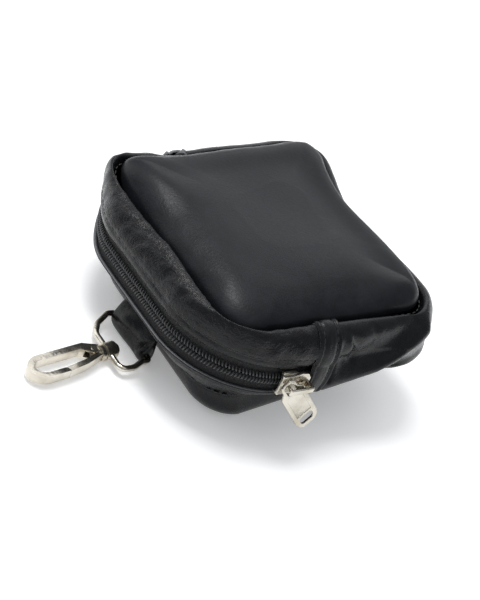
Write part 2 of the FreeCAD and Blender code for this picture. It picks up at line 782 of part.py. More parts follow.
os.makedirs("parts", exist_ok=True)
for name, shape in pieces().items():
    box = shape.BoundBox
    print(f"{name}: {len(shape.Solids)} solid, {shape.Volume:.1f} mm3, valid {shape.isValid()}, "
          f"x {box.XMin:.1f}..{box.XMax:.1f}, y {box.YMin:.1f}..{box.YMax:.1f}, "
          f"z {box.ZMin:.1f}..{box.ZMax:.1f}")
    shape.exportStep(f"parts/{name}.step")
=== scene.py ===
"""Looks of a square leather coin purse with a zip, a short strap and a snap hook.

Lengths inside the shape functions are millimetres; meshes are written in metres.
"""
import math

import bmesh
import bpy
import numpy as np
from mathutils import Matrix


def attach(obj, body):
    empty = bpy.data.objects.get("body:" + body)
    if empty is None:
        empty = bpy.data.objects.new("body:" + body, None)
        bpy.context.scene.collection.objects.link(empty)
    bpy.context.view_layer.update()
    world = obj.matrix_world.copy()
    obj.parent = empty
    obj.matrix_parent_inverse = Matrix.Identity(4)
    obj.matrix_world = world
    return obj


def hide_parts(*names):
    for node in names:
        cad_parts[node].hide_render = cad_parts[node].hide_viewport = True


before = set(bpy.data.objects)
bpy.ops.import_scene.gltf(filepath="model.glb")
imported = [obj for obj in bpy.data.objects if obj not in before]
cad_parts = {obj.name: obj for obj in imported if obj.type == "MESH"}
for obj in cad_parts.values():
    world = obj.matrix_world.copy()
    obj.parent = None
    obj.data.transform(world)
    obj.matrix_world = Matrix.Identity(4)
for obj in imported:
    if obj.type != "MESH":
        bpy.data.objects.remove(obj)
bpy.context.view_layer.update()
MM = 0.001

# ---------------------------------------------------------------- camera
def set_place(thing, right, up, back, spot):
    """Puts a camera or light at a spot, looking along minus its back axis."""
    matrix = np.eye(4)
    matrix[:3] = np.column_stack([right, up, back, spot])
    thing.matrix_world = Matrix(matrix.tolist())


TARGET = np.array([-0.1, -0.1, 15.0]) * MM
AZIMUTH, ELEVATION, ROLL = (math.radians(angle) for angle in (40.8, 33.2, 26.4))
DISTANCE = 0.5225


def make_camera():
    """Camera at an azimuth and elevation round the target, turned about its axis by the roll."""
    back = np.array([math.sin(AZIMUTH) * math.cos(ELEVATION),
                     -math.cos(AZIMUTH) * math.cos(ELEVATION), math.sin(ELEVATION)])
    level = np.array([math.cos(AZIMUTH), math.sin(AZIMUTH), 0.0])
    upright = np.cross(back, level)
    right = level * math.cos(ROLL) + upright * math.sin(ROLL)
    up = upright * math.cos(ROLL) - level * math.sin(ROLL)
    data = bpy.data.cameras.new("camera")
    data.lens = 90.0
    data.sensor_width = 36.0
    data.clip_start = 0.01
    camera = bpy.data.objects.new("camera", data)
    bpy.context.scene.collection.objects.link(camera)
    set_place(camera, right, up, back, TARGET + back * DISTANCE)
    bpy.context.scene.camera = camera


# ---------------------------------------------------------------- shader maths
class Wire:
    """A shader socket in an expression; each operator adds one Math node."""

    def __init__(self, paint, socket):
        self.paint = paint
        self.socket = socket

    def maths(self, operation, first, second):
        return self.paint.node("ShaderNodeMath", {"operation": operation}, {0: first, 1: second})

    def __add__(self, other):
        return self.maths("ADD", self, other)

    def __sub__(self, other):
        return self.maths("SUBTRACT", self, other)

    def __rsub__(self, other):
        return self.maths("SUBTRACT", other, self)

    def __mul__(self, other):
        return self.maths("MULTIPLY", self, other)

    __radd__ = __add__
    __rmul__ = __mul__


class Paint:
    """A material and its nodes."""

    def __init__(self, name):
        self.material = bpy.data.materials.new(name)
        self.material.use_nodes = True
        self.tree = self.material.node_tree
        self.tree.nodes.clear()
        self.place = self.node("ShaderNodeTexCoord", output="Object")

    def node(self, kind, settings=None, sockets=None, output=0):
        """Adds a node, sets its settings first, then its sockets' values or links."""
        made = self.tree.nodes.new(kind)
        for key, value in (settings or {}).items():
            setattr(made, key, value)
        for key, value in (sockets or {}).items():
            if isinstance(value, Wire):
                self.tree.links.new(value.socket, made.inputs[key])
            else:
                made.inputs[key].default_value = value
        return Wire(self, made.outputs[output])

    def noise(self, scale, detail=2.0, roughness=0.5, distortion=0.0, vector=None):
        """Noise from 0 to 1 with the given number of features in a metre."""
        return self.node("ShaderNodeTexNoise", {}, {
            "Vector": vector or self.place, "Scale": scale, "Detail": detail,
            "Roughness": roughness, "Distortion": distortion}, "Fac")

    def cells(self, scale, feature, vector):
        """Distance from the middle of rounded cells, or from their edges."""
        return self.node("ShaderNodeTexVoronoi", {"feature": feature},
                         {"Vector": vector, "Scale": scale}, "Distance")

    def ramp(self, value, low, high):
        """Value stretched so that low becomes 0 and high becomes 1, clamped."""
        return self.node("ShaderNodeMapRange", {"clamp": True},
                         {"Value": value, "From Min": low, "From Max": high}, "Result")

    def mix(self, share, first, second):
        """Two colours mixed by a share."""
        return self.node("ShaderNodeMix", {"data_type": "RGBA"},
                         {"Factor": share, 6: first, 7: second}, 2)

    def stretched(self, scale):
        """Object coordinates stretched along the axes."""
        return self.node("ShaderNodeMapping", {}, {"Vector": self.place, "Scale": scale})

    def bump(self, height, strength, distance, under=None):
        """A normal bent by a height."""
        sockets = {"Height": height, "Strength": strength, "Distance": distance}
        if under is not None:
            sockets["Normal"] = under
        return self.node("ShaderNodeBump", {}, sockets, "Normal")

    def finish(self, colour, roughness, normal=None, **constants):
        """Principled shader; constants are set on its own sockets."""
        sockets = {"Base Color": colour, "Roughness": roughness}
        if normal is not None:
            sockets["Normal"] = normal
        sockets.update({key.replace("_", " "): value for key, value in constants.items()})
        shader = self.node("ShaderNodeBsdfPrincipled", {}, sockets)
        output = self.tree.nodes.new("ShaderNodeOutputMaterial")
        self.tree.links.new(shader.socket, output.inputs["Surface"])
        return self.material


def shade(tone, strength):
    """A colour with alpha from a tone made lighter or darker."""
    return tuple(strength * value for value in tone) + (1.0,)


def leather(name, grain, wrinkle, roughness, tone, shine=0.25):
    """Black leather: fine pebbles, pores and soft wrinkles; grain and wrinkle scale their depth."""
    paint = Paint(name)
    bent = paint.node("ShaderNodeVectorMath", {"operation": "ADD"}, {
        0: paint.place,
        1: paint.node("ShaderNodeVectorMath", {"operation": "SCALE"}, {
            0: paint.node("ShaderNodeTexNoise", {}, {
                "Vector": paint.place, "Scale": 420.0, "Detail": 2.0}, "Color"),
            "Scale": 0.0012})})
    pebbles = paint.ramp(paint.cells(1250.0, "SMOOTH_F1", bent), 0.05, 0.6)
    furrows = paint.ramp(paint.cells(620.0, "DISTANCE_TO_EDGE", bent), 0.0, 0.09)
    pores = paint.noise(4200.0, 3.0, 0.6)
    broad = paint.noise(46.0, 3.0, 0.55)
    cloud = paint.noise(170.0, 4.0, 0.6, 0.6)
    folds = paint.noise(360.0, 5.0, 0.62, 1.4)
    height = (1.0 - pebbles) * 0.55 + furrows * 0.3 + pores * 0.25
    creased = paint.bump(folds, 0.5 * wrinkle, 0.0012)
    normal = paint.bump(height, 0.5 * grain, 0.00022, creased)
    colour = paint.mix(paint.ramp(cloud * 0.6 + broad * 0.4, 0.36, 0.64),
                       shade(tone, 0.72), shade(tone, 1.35))
    gloss = roughness + (cloud - 0.5) * 0.22 + (broad - 0.5) * 0.16 + (1.0 - furrows) * 0.08
    return paint.finish(colour, gloss, normal, Specular_IOR_Level=shine)


def cut_edge(name):
    """Painted raw edge of the leather: grey, satin, with fine fibres along it."""
    paint = Paint(name)
    fibres = paint.noise(2600.0, 4.0, 0.7)
    colour = paint.mix(paint.ramp(fibres, 0.3, 0.7), (0.08, 0.082, 0.088, 1.0),
                       (0.24, 0.245, 0.26, 1.0))
    return paint.finish(colour, 0.3 + fibres * 0.25, paint.bump(fibres, 0.3, 0.0002))


def woven(name, pitch, tone, roughness):
    """Plain weave: two crossed sets of ridges, each a sine of one coordinate."""
    paint = Paint(name)
    parts = paint.node("ShaderNodeSeparateXYZ", {}, {0: paint.place}, "X")
    split = parts.socket.node.outputs
    x, y, z = (Wire(paint, split[axis]) for axis in "XYZ")
    turns = 2.0 * math.pi / pitch
    sines = [paint.node("ShaderNodeMath", {"operation": "SINE"}, {0: value * turns})
             for value in (z, x + y)]
    weave = sines[0] * sines[1] * 0.5 + 0.5
    fuzz = paint.noise(5200.0, 3.0, 0.7)
    colour = paint.mix(paint.ramp(weave * 0.7 + fuzz * 0.3, 0.2, 0.8),
                       shade(tone, 0.5), shade(tone, 1.6))
    normal = paint.bump(weave * 0.8 + fuzz * 0.3, 0.7, 0.00025)
    return paint.finish(colour, roughness + (fuzz - 0.5) * 0.2, normal, Sheen_Weight=0.04,
                        Sheen_Roughness=0.4)


def twisted(name, tone):
    """Waxed thread: fine slanting twists and a little fuzz."""
    paint = Paint(name)
    twist = paint.noise(3000.0, 2.0, 0.5, 0.4, paint.stretched((1.0, 1.0, 3.0)))
    colour = paint.mix(paint.ramp(twist, 0.3, 0.7), shade(tone, 0.5), shade(tone, 1.7))
    return paint.finish(colour, 0.42 + twist * 0.2, paint.bump(twist, 0.5, 0.0002))


def nylon(name, tone):
    """Moulded coil teeth: satin black with small flow marks and worn tops."""
    paint = Paint(name)
    marks = paint.noise(1900.0, 3.0, 0.6)
    wear = paint.noise(240.0, 4.0, 0.65)
    colour = paint.mix(paint.ramp(wear * 0.7 + marks * 0.3, 0.35, 0.68),
                       shade(tone, 0.6), shade(tone, 1.8))
    return paint.finish(colour, 0.3 + marks * 0.22, paint.bump(marks, 0.25, 0.0001),
                        Specular_IOR_Level=0.55)


def plated(name, tone, roughness, marks_depth):
    """Nickel plate: faint casting waves, hairline scratches and duller, darker patches."""
    paint = Paint(name)
    waves = paint.noise(240.0, 3.0, 0.5)
    pits = paint.noise(1500.0, 4.0, 0.65)
    hairlines = paint.noise(900.0, 4.0, 0.7, 0.2, paint.stretched((1.0, 6.0, 1.0)))
    dull = paint.noise(110.0, 4.0, 0.6)
    dark = (0.62 * tone[0], 0.59 * tone[1], 0.52 * tone[2], 1.0)
    colour = paint.mix(paint.ramp(dull, 0.42, 0.8), shade(tone, 1.0), dark)
    gloss = roughness + (dull - 0.5) * 0.16 + (hairlines - 0.5) * 0.14
    broad = paint.bump(waves, 0.3 * marks_depth, 0.0008)
    normal = paint.bump(pits * 0.6 + hairlines * 0.4, 0.25 * marks_depth, 0.00012, broad)
    return paint.finish(colour, gloss, normal, Metallic=1.0)


FRONT_LEATHER = leather("front_leather", 0.3, 0.08, 0.36, (0.0085, 0.0095, 0.0118), 0.2)
SIDE_LEATHER = leather("side_leather", 0.55, 0.65, 0.23, (0.005, 0.0051, 0.0061))
PLAIN_LEATHER = leather("plain_leather", 0.3, 0.25, 0.27, (0.005, 0.0053, 0.0063))
STRAP_LEATHER = leather("strap_leather", 0.16, 0.2, 0.22, (0.004, 0.0042, 0.005))
RAW_EDGE = cut_edge("raw_edge")
TAPE_CLOTH = woven("tape_cloth", 0.00075, (0.008, 0.008, 0.009), 0.75)
LINING_CLOTH = woven("lining_cloth", 0.0005, (0.014, 0.014, 0.016), 0.7)
THREAD = twisted("thread", (0.016, 0.0165, 0.018))
TEETH = nylon("teeth", (0.026, 0.0265, 0.028))
HOOK_METAL = plated("hook_metal", (0.70, 0.66, 0.585), 0.2, 0.7)
SLIDER_METAL = plated("slider_metal", (0.66, 0.625, 0.55), 0.24, 0.7)
SPRING_METAL = plated("spring_metal", (0.42, 0.33, 0.22), 0.35, 1.0)


# ---------------------------------------------------------------- meshes
def new_piece(name, points, faces, material, edge=None):
    """A mesh object from points in millimetres and rows of vertex numbers."""
    mesh = bpy.data.meshes.new(name)
    mesh.from_pydata((np.asarray(points) * MM).tolist(), [], np.asarray(faces).tolist())
    mesh.materials.append(material)
    if edge is not None:
        mesh.materials.append(edge)
    mesh.polygons.foreach_set("use_smooth", np.ones(len(mesh.polygons), bool))
    mesh.update()
    piece = bpy.data.objects.new(name, mesh)
    bpy.context.scene.collection.objects.link(piece)
    return piece


def grid_faces(rows, columns, joined=False, flip=False):
    """Quads between neighbouring grid points; joined closes the columns into a ring."""
    down = np.arange(rows - 1)[:, None]
    over = np.arange(columns if joined else columns - 1)[None, :]
    nearer = down * columns + over
    farther = down * columns + (over + 1) % columns
    quads = np.stack([nearer, farther, farther + columns, nearer + columns], -1).reshape(-1, 4)
    return quads[:, ::-1] if flip else quads


def weld(piece):
    """Merges points that coincide, such as those at a pole."""
    shape = bmesh.new()
    shape.from_mesh(piece.data)
    bmesh.ops.remove_doubles(shape, verts=shape.verts, dist=1e-6)
    bmesh.ops.dissolve_degenerate(shape, edges=shape.edges, dist=1e-7)
    shape.to_mesh(piece.data)
    shape.free()
    return piece


def thicken(piece, thickness, edge_slot=0):
    """Gives a sheet its thickness, behind its outer face."""
    wall = piece.modifiers.new("wall", "SOLIDIFY")
    wall.thickness = thickness * MM
    wall.offset = -1.0
    wall.material_offset_rim = edge_slot
    wall.use_even_offset = False
    return piece


def belongs(piece, body, slot, *nodes):
    """Rides on a body and stands for CAD nodes, which it hides; its slot is not used."""
    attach(piece, body)
    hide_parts(*nodes)
    return piece


def ripple(points, length, seed):
    """Smooth uneven height: a sum of sines in random directions with waves near one length."""
    terms = 14
    random = np.random.default_rng(seed)
    ways = random.normal(size=(terms, 3))
    ways /= np.linalg.norm(ways, axis=1, keepdims=True)
    waves = 2 * np.pi / (length * random.uniform(0.7, 1.6, terms))
    phases = random.uniform(0, 2 * np.pi, terms)
    return np.sin(points @ (ways * waves[:, None]).T + phases).sum(-1) / math.sqrt(terms)


def ease(value):
    """Smooth step from 0 to 1."""
    held = np.clip(value, 0.0, 1.0)
    return held * held * (3 - 2 * held)


def crease(points, path, width, depth):
    """A fold along a path: its depth falls off as a bell with the distance from the path."""
    path = np.array(path, float)
    nearest = np.full(points.shape[:-1], np.inf)
    for start, end in zip(path[:-1], path[1:]):
        run = end - start
        share = np.clip(((points - start) @ run) / (run @ run), 0.0, 1.0)
        distance = np.linalg.norm(points - start - share[..., None] * run, axis=-1)
        nearest = np.minimum(nearest, distance)
    return depth * np.exp(-(nearest / width) ** 2)


def lengths(points):
    """Length along a line up to each of its points."""
    steps = np.linalg.norm(np.diff(points, axis=0), axis=1)
    return np.concatenate([[0], np.cumsum(steps)])


def flowing(knots, steps):
    """Catmull-Rom points from the second knot up to the last but one."""
    share = np.linspace(0, 1, steps, endpoint=False)[:, None]
    return np.vstack([
        0.5 * (2 * b + (c - a) * share + (2 * a - 5 * b + 4 * c - d) * share ** 2
               + (3 * b - a - 3 * c + d) * share ** 3)
        for a, b, c, d in zip(knots[:-3], knots[1:-2], knots[2:-1], knots[3:])])


# ---------------------------------------------------------------- the pouch's outline
CORNER_SIGNS = np.array([(1, -1), (1, 1), (-1, 1), (-1, -1)], float)
CORNER_STARTS = np.radians([-90.0, 0.0, 90.0, 180.0])
PUSH = np.array([(0.0, 0.0), (0.0, 2.5), (-6.0, 5.5), (-1.0, 0.0)])
SPREAD = np.array([(8.0, -1.5), (0.0, 1.0), (-3.0, 3.0), (-1.0, 0.0)])
HALF_X, HALF_Y = 50.0, 51.3
ZIP_RADIUS, PLAIN_RADIUS = 32.7, 24.0
ZIP_LOW, ZIP_HIGH = 21.9, 32.2
BACK_SEAM_Z, MIDDLE_Z = 12.5, 27.0
ZIP_END_Y = -7.7
TURN = 8.0
LEATHER_WALL, CLOTH_WALL = 1.2, 0.4


def smooth_rows(rows, count):
    """Catmull-Rom curve through the rows, with points evenly spaced along its profile."""
    rows = np.array(rows, float)
    padded = np.vstack([2 * rows[0] - rows[1], rows, 2 * rows[-1] - rows[-2]])
    dense = np.vstack([flowing(padded, 12), rows[-1:]])
    length = lengths(dense[:, [0, 2]])
    even = np.linspace(0, length[-1], count)
    return np.stack([np.interp(even, length, column) for column in dense.T], -1)


def corner_places(row):
    """Centres and radii of the four corner arcs of a row (half x, half y, z, zip r, plain r)."""
    half = row[:2]
    radii = np.array([row[3], row[4], row[4], row[3]])
    pushed = np.clip((row[2] - BACK_SEAM_Z) / (ZIP_LOW - BACK_SEAM_Z), 0, 1)
    spread = np.clip(1 - row[2] / BACK_SEAM_Z, 0, 1)
    shift = pushed * PUSH + spread * SPREAD
    return CORNER_SIGNS * (half - radii[:, None]) + shift, radii


def plan(row, stations):
    """Points round one level. A station is 2k to 2k+1 on corner k's arc, then its straight side."""
    centres, radii = corner_places(row)
    turn = np.mod(stations, TURN)
    corner = np.minimum(turn // 2, 3).astype(int)
    share = turn - 2 * corner
    angle = CORNER_STARTS[corner] + np.minimum(share, 1.0) * np.pi / 2
    arc = centres[corner] + radii[corner, None] * np.stack([np.cos(angle), np.sin(angle)], -1)
    after = (corner + 1) % 4
    start_angle = CORNER_STARTS[after]
    start = centres[after] + radii[after, None] * np.stack(
        [np.cos(start_angle), np.sin(start_angle)], -1)
    along = np.maximum(share - 1.0, 0.0)[:, None]
    flat = arc + (start - arc) * along
    return np.column_stack([flat, np.full(len(turn), row[2])])


SETTLING = np.array([
    (-37, 47, 46, 17, -0.5, 1.0, 4.6),
    (-47, 12, 46, 20, 0.0, 0.0, 1.6),
    (-12, 53, 40, 24, 0.0, -6.2, 0.0),
    (46, 50, 46, 11, -0.5, -2.4, -0.5),
    (48, 34, 7, 21, 0.0, -0.5, 7.2),
    (-38, -46, 21, 15, 1.0, 2.0, 0.0),
    (-46, -40, 44, 13, -3.4, -0.6, 0.8),
])


def settled(points):
    """Moves soft points by bells: each has a centre, a radius and the shift at its centre."""
    moved = points.copy()
    for bell in SETTLING:
        gap = points - bell[:3]
        share = np.exp(-(gap ** 2).sum(-1) / bell[3] ** 2)
        moved += share[..., None] * bell[4:]
    return moved


def side_station(row, corner, y):
    """Station at a given y on the straight side after a corner."""
    ends = plan(row, np.array([2 * corner + 1.0, 2 * corner + 2.0 - 1e-9]))[:, 1]
    return 2 * corner + 1 + (y - ends[0]) / (ends[1] - ends[0])


def even_stations(row, knots, count):
    """Stations evenly spaced in length between knots, at one level."""
    dense = np.concatenate([np.linspace(a, b, 40, endpoint=False)
                            for a, b in zip(knots[:-1], knots[1:])] + [[knots[-1]]])
    length = lengths(plan(row, dense))
    return np.interp(np.linspace(0, length[-1], count), length, dense)


def band(rows, count, first_corner, last_corner):
    """Grid of a strip from one corner's straight side to another's, its ends cut square."""
    guide = np.array([HALF_X, HALF_Y, MIDDLE_Z, ZIP_RADIUS, PLAIN_RADIUS])
    middle = np.arange(2 * first_corner + 2.0, 2 * last_corner + 1.5)
    levels = []
    lap = TURN if last_corner > 3 else 0.0
    base_knots = np.concatenate([[side_station(guide, first_corner, ZIP_END_Y)], middle,
                                 [side_station(guide, last_corner % 4, ZIP_END_Y) + lap]])
    base = even_stations(guide, base_knots, count)
    for row in rows:
        knots = base_knots.copy()
        knots[0] = side_station(row, first_corner, ZIP_END_Y)
        knots[-1] = side_station(row, last_corner % 4, ZIP_END_Y) + lap
        levels.append(plan(row, np.interp(base, base_knots, knots)))
    return np.array(levels)


def closed_level(rows, count):
    """Grid of a panel that goes all the way round, the same stations at every level."""
    guide = np.array([HALF_X, HALF_Y, MIDDLE_Z, 24.0, 22.0])
    stations = even_stations(guide, np.arange(0.0, TURN + 0.5), count + 1)[:-1]
    return np.array([plan(row, stations) for row in rows])


def outward_normals(grid):
    """Unit normals of a grid, from the cross product of its two directions."""
    normal = np.cross(np.gradient(grid, axis=1), np.gradient(grid, axis=0))
    size = np.linalg.norm(normal, axis=-1, keepdims=True)
    return normal / np.maximum(size, 1e-9)


def raised(grid, height):
    """The grid moved along its normals by a height."""
    return grid + outward_normals(grid) * height[..., None]


# ---------------------------------------------------------------- profiles
# Each row: half x, half y, z, radius of the corners on the zip's side, radius of the others.
UPPER_ROWS = [
    (HALF_X, HALF_Y, ZIP_HIGH, ZIP_RADIUS, PLAIN_RADIUS),
    (50.15, 51.45, 34.2, 32.5, 24.0),
    (49.7, 51.0, 37.2, 31.0, 23.0),
    (48.4, 49.8, 40.2, 27.5, 20.0),
    (46.6, 48.1, 42.3, 23.0, 17.5),
    (44.7, 46.2, 43.4, 18.0, 15.0),
    (43.3, 44.8, 43.6, 14.5, 13.4),
    (42.5, 43.9, 42.9, 12.8, 12.5),
    (42.1, 43.4, 41.4, 12.4, 12.3),
    (41.8, 43.1, 39.8, 12.2, 12.2),
]
LOWER_ROWS = [
    (40.1, 39.6, 11.6, 14.0, 14.0),
    (40.9, 40.6, 13.0, 16.0, 15.5),
    (43.0, 43.6, 14.8, 20.0, 18.0),
    (46.0, 47.0, 17.4, 26.0, 21.5),
    (48.9, 50.1, 20.0, 31.0, 23.5),
    (49.9, 51.2, 21.2, 32.5, 24.0),
    (HALF_X, HALF_Y, ZIP_LOW, ZIP_RADIUS, PLAIN_RADIUS),
]
MIDDLE_ROWS = [
    (50.4, 51.7, 24.5, ZIP_RADIUS, PLAIN_RADIUS),
    (50.6, 51.9, 27.5, ZIP_RADIUS, PLAIN_RADIUS),
    (50.4, 51.7, 30.0, ZIP_RADIUS, PLAIN_RADIUS),
]
FRONT_ROWS = [
    (40.6, 41.9, 39.8, 12.0, 12.0),
    (40.3, 41.6, 41.3, 12.0, 12.0),
    (39.7, 41.0, 42.7, 12.0, 12.0),
    (38.6, 39.9, 44.0, 12.0, 12.0),
    (36.7, 38.1, 45.5, 12.0, 12.0),
    (33.4, 34.8, 47.4, 12.0, 12.0),
    (28.5, 29.8, 49.3, 12.0, 12.0),
    (22.0, 23.0, 50.6, 11.0, 11.0),
    (14.0, 15.0, 51.2, 9.0, 9.0),
]
BACK_ROWS = [
    (40.0, 39.5, 12.9, 14.0, 14.0),
    (39.6, 39.1, 11.6, 13.8, 13.8),
    (38.6, 38.1, 9.0, 13.4, 13.4),
    (36.6, 36.1, 5.4, 13.0, 13.0),
    (33.8, 33.3, 2.6, 12.5, 12.5),
    (30.0, 29.6, 0.75, 12.0, 12.0),
    (25.0, 25.0, 0.05, 11.0, 11.0),
    (14.0, 15.0, 0.0, 9.0, 9.0),
]


def far_share(points):
    """How much a point lies towards the two far sides, 0 to 1."""
    left = ease((-points[..., 0] - 8.0) / 30.0)
    away = ease((points[..., 1] - 8.0) / 30.0)
    return np.maximum(left, away)


def panel(name, rows, material, lift, flip):
    """A panel closed over its middle: the rim's levels, then the last level shrunk to a point."""
    rim = closed_level(smooth_rows(rows, 46), 440)
    shrink = np.linspace(1, 0, 17)[1:, None, None]
    last = rim[-1]
    middle = last.mean(0)
    inner = middle + (last - middle) * shrink
    grid = np.concatenate([rim, inner])
    grid[..., 2] += lift(grid)
    grid = settled(grid)
    faces = grid_faces(grid.shape[0], grid.shape[1], True, flip)
    return weld(new_piece(name, grid.reshape(-1, 3), faces, material))


def rim_distance(points, half_x, half_y):
    """Distance inside a panel's edge, measured square to its nearest side."""
    return np.minimum(half_x - np.abs(points[..., 0] + 1.5),
                      half_y - np.abs(points[..., 1] - 1.5))


def front_lift(points):
    """Soft unevenness of the stuffed front, puckers along its seam and the fuller far sides."""
    inside = np.clip(rim_distance(points, 43.5, 44.0), 0, None)
    rise = far_share(points) * 3.6 * np.exp(-((inside - 7.0) / 8.5) ** 2) * ease(inside / 2.5)
    flat = points * np.array([1.0, 1.0, 0.0])
    waves = 0.2 * ripple(flat, 34.0, 5) * ease(inside / 12.0)
    seam = np.exp(-((inside - 3.0) / 3.5) ** 2) * ease(inside / 1.5)
    puckers = 0.10 * ripple(flat, 7.0, 8) * seam
    dents = (crease(points, [(-30, -18, 50), (-12, 4, 50), (4, 10, 50)], 11.0, -0.3)
             + crease(points, [(2, 22, 50), (26, 30, 50)], 10.0, -0.3)
             + crease(points, [(16, -26, 49), (33, -4, 49), (34, 20, 49)], 7.0, -0.3))
    return rise + waves + puckers + dents


def back_lift(points):
    """The resting face stays flat; its upturned sides are a little uneven."""
    return 0.25 * ripple(points, 16.0, 21) * ease((points[..., 2] - 3.0) / 5.0)


def upper_relief(points):
    """Wrinkles of the upper strip: uneven shoulder, slanting folds and stitch puckers."""
    height = np.clip((points[..., 2] - ZIP_HIGH) / 10.0, 0, 1)
    soft = ease(height / 0.35)
    broad = 0.35 * ripple(points, 24.0, 31) * soft
    fine = 0.16 * ripple(points * np.array([1.0, 1.0, 0.6]), 5.5, 33) * soft
    row = np.exp(-((points[..., 2] - 34.9) / 0.7) ** 2)
    return broad + fine - 0.28 * row


def side_folds(points):
    """Folds of the plain side: one long ridge with hollows beside it, and pulls near the tab."""
    ridge = crease(points, [(50, -3, 22.5), (50.5, 4, 23.5), (50.5, 18, 25.5), (50, 25, 29.5),
                            (49, 31, 33.5), (46, 39, 37.5)], 3.0, 1.7)
    hollow = crease(points, [(50, 3, 32), (50, 14, 34.5), (50, 24, 38.5), (47, 33, 42)], 5.0, -1.9)
    under = crease(points, [(50, 14, 19), (50, 26, 22), (47, 38, 27), (40, 47, 31)], 3.0, -1.6)
    lobe = crease(points, [(48, 30, 20), (44, 42, 24)], 4.0, 0.9)
    pulls = (crease(points, [(50, -1.2, 40), (51, -1.0, 33), (50, -2.0, 25)], 1.1, -0.8)
             + crease(points, [(48, 1, 43), (50, 5.5, 38), (50.5, 7, 31)], 1.7, -0.8)
             + crease(points, [(48, 1.5, 42), (50.5, 3, 34)], 1.3, 0.45)
             + crease(points, [(47, 13, 42), (50, 14.5, 38)], 1.8, -0.4))
    return ridge + hollow + under + lobe + pulls


def plain_relief(points):
    """The plain side's folds with smaller wrinkles near both seams."""
    height = points[..., 2]
    seams = np.exp(-((height - 41.0) / 2.5) ** 2) + np.exp(-((height - 14.0) / 2.5) ** 2)
    free = ease((points[..., 1] - ZIP_END_Y) / 6.0)
    small = 0.05 * ripple(points * np.array([1.0, 1.0, 0.35]), 6.0, 41) * (0.3 + seams)
    return free * (side_folds(points) + 0.12 * ripple(points, 26.0, 43)) + small


def lower_relief(points):
    """Lower strip: a rolled rim beside the zip, a shallow stitch channel, then soft waves."""
    channel = -0.5 * np.exp(-((points[..., 2] - 20.2) / 0.55) ** 2)
    return channel + 0.3 * ripple(points, 14.0, 51) * ease((20.0 - points[..., 2]) / 3.0)


def strip(name, rows, levels, corners, material, relief, node):
    """A leather strip of the side, with its relief, thickness and a raw cut edge; its grid."""
    grid = band(smooth_rows(rows, levels), SIDE_COLUMNS, *corners)
    grid = settled(raised(grid, relief(grid)))
    faces = grid_faces(levels, SIDE_COLUMNS)
    piece = new_piece(name, grid.reshape(-1, 3), faces, material, RAW_EDGE)
    belongs(thicken(piece, LEATHER_WALL, 1), "purse", "leather", node)
    return grid


front = panel("front_panel_leather", FRONT_ROWS, FRONT_LEATHER, front_lift, False)
belongs(thicken(front, LEATHER_WALL), "purse", "leather", "front_panel")
back = panel("back_panel_leather", BACK_ROWS, PLAIN_LEATHER, back_lift, True)
belongs(thicken(back, LEATHER_WALL), "purse", "leather", "back_panel")

SIDE_COLUMNS = 420
ZIP_CORNERS, PLAIN_CORNERS = (2, 4), (0, 2)
upper_grid = strip("zip_gusset_front_leather", UPPER_ROWS, 34, ZIP_CORNERS, SIDE_LEATHER,
                   upper_relief, "zip_gusset_front")
lower_grid = strip("zip_gusset_back_leather", LOWER_ROWS, 26, ZIP_CORNERS, SIDE_LEATHER,
                   lower_relief, "zip_gusset_back")
strip("plain_gusset_leather", LOWER_ROWS + MIDDLE_ROWS + UPPER_ROWS, 84, PLAIN_CORNERS,
      PLAIN_LEATHER, plain_relief, "plain_gusset")


# ---------------------------------------------------------------- linings
LINING_DEPTH = 2.1


def inset(rows, depth, drop=0.0):
    """The rows moved inwards by a depth and down by a drop."""
    return [(x - depth, y - depth, z - drop, near - depth, far - depth)
            for x, y, z, near, far in rows]


def side_lining():
    """Lining of the sides behind each leather strip, open behind the zip."""
    plain_rows = inset(LOWER_ROWS + MIDDLE_ROWS + UPPER_ROWS[:-6], LINING_DEPTH)
    parts = [(inset(UPPER_ROWS[:-6], LINING_DEPTH), ZIP_CORNERS),
             (inset(LOWER_ROWS, LINING_DEPTH), ZIP_CORNERS), (plain_rows, PLAIN_CORNERS)]
    levels, columns = 30, 160
    grids = [settled(band(smooth_rows(rows, levels), columns, *corners))
             for rows, corners in parts]
    grids[2] = raised(grids[2], np.minimum(plain_relief(grids[2]), 0.0))
    points = np.concatenate([grid.reshape(-1, 3) for grid in grids])
    faces = np.concatenate([grid_faces(levels, columns) + levels * columns * index
                            for index in range(3)])
    piece = thicken(new_piece("side_lining_cloth", points, faces, LINING_CLOTH), CLOTH_WALL)
    return belongs(piece, "purse", "lining", "gusset_lining")


side_lining()
front_cloth = panel("front_lining_cloth", inset(FRONT_ROWS[2:], LINING_DEPTH, LINING_DEPTH),
                    LINING_CLOTH, front_lift, False)
belongs(thicken(front_cloth, CLOTH_WALL), "purse", "lining", "front_lining")
back_cloth = panel("back_lining_cloth", inset(BACK_ROWS[2:], LINING_DEPTH, -LINING_DEPTH),
                   LINING_CLOTH, back_lift, True)
belongs(thicken(back_cloth, CLOTH_WALL), "purse", "lining", "back_lining")


# ---------------------------------------------------------------- repeated shapes
def bead(rings, around):
    """A round-ended lozenge: rings whose radius follows a half circle from end to end."""
    turn = np.linspace(0, np.pi, rings)
    spin = np.linspace(0, 2 * np.pi, around, endpoint=False)
    along = -np.cos(turn)[:, None] * np.ones(around)
    across = np.sin(turn)[:, None] * np.cos(spin)
    up = np.sin(turn)[:, None] * np.sin(spin)
    return np.stack([along, across, up], -1).reshape(-1, 3), grid_faces(rings, around, True)


